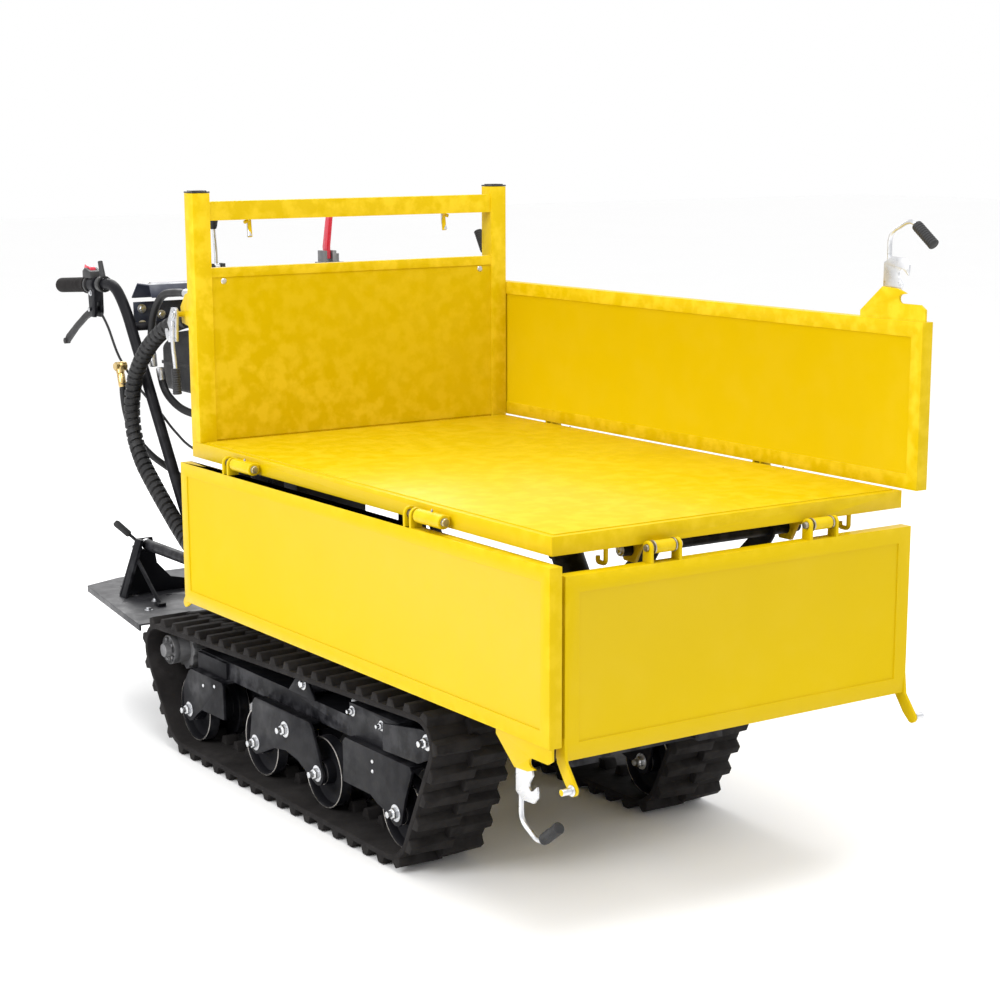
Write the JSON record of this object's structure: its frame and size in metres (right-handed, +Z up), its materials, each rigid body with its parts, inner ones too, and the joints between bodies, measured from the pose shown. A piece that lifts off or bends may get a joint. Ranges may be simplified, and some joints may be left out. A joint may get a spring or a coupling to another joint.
{
  "type": "power wheelbarrow",
  "caption": "Rubber-tracked power wheelbarrow with a tipping drop-side load bed, headboard and walk-behind handlebars.",
  "frame": {"origin": "on the ground under the middle of the bounding box", "axes": "+Z up, -Y towards the tipping end, +Y towards the operator, +X to the right seen from the tipping end"},
  "size_m": [0.868, 2.2978, 1.284],
  "materials": {
    "yellow_paint": "glossy yellow paint",
    "black_paint": "satin black paint",
    "navy_paint": "satin blue-black paint",
    "grey_paint": "dark grey paint",
    "rubber": "matte moulded rubber",
    "black_plastic": "matte black plastic",
    "red_plastic": "glossy crimson plastic",
    "zinc": "zinc-plated steel",
    "steel": "bare steel",
    "cast": "cast housing",
    "brass": "brass fitting"
  },
  "bodies": {
    "chassis": {"chassis_frame": "black_paint", "gearbox": "cast", "track_frame_left": "black_paint", "track_frame_right": "black_paint", "track_belt_left": "rubber", "track_belt_right": "rubber", "bogie_left": "black_paint", "bogie_right": "black_paint", "step_plate": "grey_paint", "step_support": "black_paint", "handlebar_frame": "black_paint", "hand_grip_left": "rubber", "hand_grip_right": "rubber", "switch_pod": "black_plastic", "console_cover": "navy_paint", "engine_block": "black_paint", "fuel_tank": "black_plastic", "silencer": "steel", "hydraulic_tank": "black_paint", "valve_body": "cast", "gear_lever_base": "black_plastic", "hose_bundle": "rubber", "hydraulic_hose_upper": "rubber", "hydraulic_hose_lower": "rubber", "banjo_hose": "brass", "clutch_cable": "rubber"},
    "bed": {"load_bed": "yellow_paint", "headboard": "yellow_paint", "post_cap_left": "black_plastic", "post_cap_right": "black_plastic"},
    "side_panel_left": {"side_panel_left": "yellow_paint"},
    "side_panel_right": {"side_panel_right": "yellow_paint"},
    "front_panel": {"front_panel": "yellow_paint"},
    "latch_front_left": {"latch_front_left": "zinc"},
    "latch_front_right": {"latch_front_right": "zinc"},
    "latch_rear_left": {"latch_rear_left": "zinc"},
    "latch_rear_right": {"latch_rear_right": "zinc"},
    "cylinder_barrel": {"cylinder_barrel": "black_paint"},
    "cylinder_rod": {"cylinder_rod": "steel"},
    "sprocket_left": {"sprocket_left": "cast"},
    "idler_left": {"idler_left": "cast"},
    "carrier_roller_left": {"carrier_roller_left": "grey_paint"},
    "road_wheel_left_1": {"road_wheel_left_1": "black_paint"},
    "road_wheel_left_2": {"road_wheel_left_2": "black_paint"},
    "road_wheel_left_3": {"road_wheel_left_3": "black_paint"},
    "road_wheel_left_4": {"road_wheel_left_4": "black_paint"},
    "sprocket_right": {"sprocket_right": "cast"},
    "idler_right": {"idler_right": "cast"},
    "carrier_roller_right": {"carrier_roller_right": "grey_paint"},
    "road_wheel_right_1": {"road_wheel_right_1": "black_paint"},
    "road_wheel_right_2": {"road_wheel_right_2": "black_paint"},
    "road_wheel_right_3": {"road_wheel_right_3": "black_paint"},
    "road_wheel_right_4": {"road_wheel_right_4": "black_paint"},
    "clutch_lever_left": {"clutch_lever_left": "black_plastic"},
    "clutch_lever_right": {"clutch_lever_right": "black_plastic"},
    "switch_rocker": {"switch_rocker": "red_plastic"},
    "throttle_lever": {"throttle_lever": "black_plastic"},
    "valve_lever": {"valve_lever": "red_plastic"},
    "gear_lever": {"gear_lever": "zinc"},
    "parking_lever": {"parking_lever": "black_paint"}
  },
  "joints": [
    {"name": "bed_tilt", "type": "hinge", "parent": "chassis", "child": "bed", "pos_m": [0, -1.01325, 0.691], "axis": [1, 0, 0], "range_deg": [0, 45]},
    {"name": "side_panel_left_swing", "type": "hinge", "parent": "bed", "child": "side_panel_left", "pos_m": [-0.4155, -0.38325, 0.726], "axis": [0, 1, 0], "range_deg": [0, 180]},
    {"name": "side_panel_right_swing", "type": "hinge", "parent": "bed", "child": "side_panel_right", "pos_m": [0.4155, -0.38325, 0.726], "axis": [0, 1, 0], "range_deg": [0, 180]},
    {"name": "front_panel_swing", "type": "hinge", "parent": "bed", "child": "front_panel", "pos_m": [0, -1.10225, 0.71], "axis": [-1, 0, 0], "range_deg": [0, 180]},
    {"name": "latch_front_left_turn", "type": "hinge", "parent": "side_panel_left", "child": "latch_front_left", "pos_m": [-0.416, -1.01125, 0.35], "axis": [-1, 0, 0], "range_deg": [0, 24]},
    {"name": "latch_front_right_turn", "type": "hinge", "parent": "side_panel_right", "child": "latch_front_right", "pos_m": [0.416, -1.01125, 1.102], "axis": [1, 0, 0], "range_deg": [0, 50]},
    {"name": "latch_rear_left_turn", "type": "hinge", "parent": "bed", "child": "latch_rear_left", "pos_m": [-0.416, 0.29175, 1.02], "axis": [1, 0, 0], "range_deg": [0, 150]},
    {"name": "latch_rear_right_turn", "type": "hinge", "parent": "bed", "child": "latch_rear_right", "pos_m": [0.416, 0.29175, 1.02], "axis": [1, 0, 0], "range_deg": [-150, 0]},
    {"name": "cylinder_pivot", "type": "hinge", "parent": "chassis", "child": "cylinder_barrel", "pos_m": [0, -0.75325, 0.313], "axis": [1, 0, 0], "range_deg": [0, 25.38]},
    {"name": "cylinder_stroke", "type": "slide", "parent": "cylinder_barrel", "child": "cylinder_rod", "axis": [0, 0.5437, 0.8393], "range_m": [0, 0.302]},
    {"name": "sprocket_left_spin", "type": "hinge", "parent": "chassis", "child": "sprocket_left", "pos_m": [-0.302, 0.50675, 0.223], "axis": [1, 0, 0], "continuous": true},
    {"name": "idler_left_spin", "type": "hinge", "parent": "chassis", "child": "idler_left", "pos_m": [-0.302, -0.63625, 0.278], "axis": [1, 0, 0], "continuous": true},
    {"name": "carrier_roller_left_spin", "type": "hinge", "parent": "chassis", "child": "carrier_roller_left", "pos_m": [-0.302, -0.10325, 0.271], "axis": [1, 0, 0], "continuous": true},
    {"name": "road_wheel_left_1_spin", "type": "hinge", "parent": "chassis", "child": "road_wheel_left_1", "pos_m": [-0.302, -0.51825, 0.1065], "axis": [1, 0, 0], "continuous": true},
    {"name": "road_wheel_left_2_spin", "type": "hinge", "parent": "chassis", "child": "road_wheel_left_2", "pos_m": [-0.302, -0.20625, 0.1065], "axis": [1, 0, 0], "continuous": true},
    {"name": "road_wheel_left_3_spin", "type": "hinge", "parent": "chassis", "child": "road_wheel_left_3", "pos_m": [-0.302, 0.06675, 0.1065], "axis": [1, 0, 0], "continuous": true},
    {"name": "road_wheel_left_4_spin", "type": "hinge", "parent": "chassis", "child": "road_wheel_left_4", "pos_m": [-0.302, 0.39275, 0.1065], "axis": [1, 0, 0], "continuous": true},
    {"name": "sprocket_right_spin", "type": "hinge", "parent": "chassis", "child": "sprocket_right", "pos_m": [0.302, 0.50675, 0.223], "axis": [1, 0, 0], "continuous": true},
    {"name": "idler_right_spin", "type": "hinge", "parent": "chassis", "child": "idler_right", "pos_m": [0.302, -0.63625, 0.278], "axis": [1, 0, 0], "continuous": true},
    {"name": "carrier_roller_right_spin", "type": "hinge", "parent": "chassis", "child": "carrier_roller_right", "pos_m": [0.302, -0.10325, 0.271], "axis": [1, 0, 0], "continuous": true},
    {"name": "road_wheel_right_1_spin", "type": "hinge", "parent": "chassis", "child": "road_wheel_right_1", "pos_m": [0.302, -0.51825, 0.1065], "axis": [1, 0, 0], "continuous": true},
    {"name": "road_wheel_right_2_spin", "type": "hinge", "parent": "chassis", "child": "road_wheel_right_2", "pos_m": [0.302, -0.20625, 0.1065], "axis": [1, 0, 0], "continuous": true},
    {"name": "road_wheel_right_3_spin", "type": "hinge", "parent": "chassis", "child": "road_wheel_right_3", "pos_m": [0.302, 0.06675, 0.1065], "axis": [1, 0, 0], "continuous": true},
    {"name": "road_wheel_right_4_spin", "type": "hinge", "parent": "chassis", "child": "road_wheel_right_4", "pos_m": [0.302, 0.39275, 0.1065], "axis": [1, 0, 0], "continuous": true},
    {"name": "clutch_lever_left_squeeze", "type": "hinge", "parent": "chassis", "child": "clutch_lever_left", "pos_m": [-0.32, 0.94875, 0.983], "axis": [1, 0, 0], "range_deg": [0, 18], "stiffness_Nm_per_rad": 2, "springref_deg": -17.19},
    {"name": "clutch_lever_right_squeeze", "type": "hinge", "parent": "chassis", "child": "clutch_lever_right", "pos_m": [0.32, 0.94875, 0.983], "axis": [1, 0, 0], "range_deg": [0, 18], "stiffness_Nm_per_rad": 2, "springref_deg": -17.19},
    {"name": "switch_rocker_tilt", "type": "hinge", "parent": "chassis", "child": "switch_rocker", "pos_m": [-0.32, 0.96275, 1.075], "axis": [1, 0, 0], "range_deg": [-6, 6]},
    {"name": "throttle_turn", "type": "hinge", "parent": "chassis", "child": "throttle_lever", "pos_m": [-0.32, 0.89075, 1.0469], "axis": [0, 0.9979, -0.0648], "range_deg": [0, 60]},
    {"name": "valve_lever_tilt", "type": "hinge", "parent": "chassis", "child": "valve_lever", "pos_m": [0.202, 0.71675, 1.105], "axis": [1, 0, 0], "range_deg": [-18, 18], "stiffness_Nm_per_rad": 2},
    {"name": "gear_lever_tilt", "type": "hinge", "parent": "chassis", "child": "gear_lever", "pos_m": [-0.103, 0.71675, 1.087], "axis": [1, 0, 0], "range_deg": [-14, 14]},
    {"name": "parking_lever_turn", "type": "hinge", "parent": "chassis", "child": "parking_lever", "pos_m": [-0.24, 0.93275, 0.385], "axis": [-1, 0, 0], "range_deg": [0, 40]}
  ],
  "couplings": [
    {"joint": "cylinder_pivot", "follows": "bed_tilt", "ratio": 0.553},
    {"joint": "cylinder_stroke", "follows": "bed_tilt", "m_per_rad": 0.382},
    {"joint": "idler_left_spin", "follows": "sprocket_left_spin", "ratio": 1.1798},
    {"joint": "carrier_roller_left_spin", "follows": "sprocket_left_spin", "ratio": 2.0192},
    {"joint": "road_wheel_left_1_spin", "follows": "sprocket_left_spin", "ratio": 0.69079},
    {"joint": "road_wheel_left_2_spin", "follows": "sprocket_left_spin", "ratio": 0.69079},
    {"joint": "road_wheel_left_3_spin", "follows": "sprocket_left_spin", "ratio": 0.69079},
    {"joint": "road_wheel_left_4_spin", "follows": "sprocket_left_spin", "ratio": 0.69079},
    {"joint": "idler_right_spin", "follows": "sprocket_right_spin", "ratio": 1.1798},
    {"joint": "carrier_roller_right_spin", "follows": "sprocket_right_spin", "ratio": 2.0192},
    {"joint": "road_wheel_right_1_spin", "follows": "sprocket_right_spin", "ratio": 0.69079},
    {"joint": "road_wheel_right_2_spin", "follows": "sprocket_right_spin", "ratio": 0.69079},
    {"joint": "road_wheel_right_3_spin", "follows": "sprocket_right_spin", "ratio": 0.69079},
    {"joint": "road_wheel_right_4_spin", "follows": "sprocket_right_spin", "ratio": 0.69079}
  ]
}
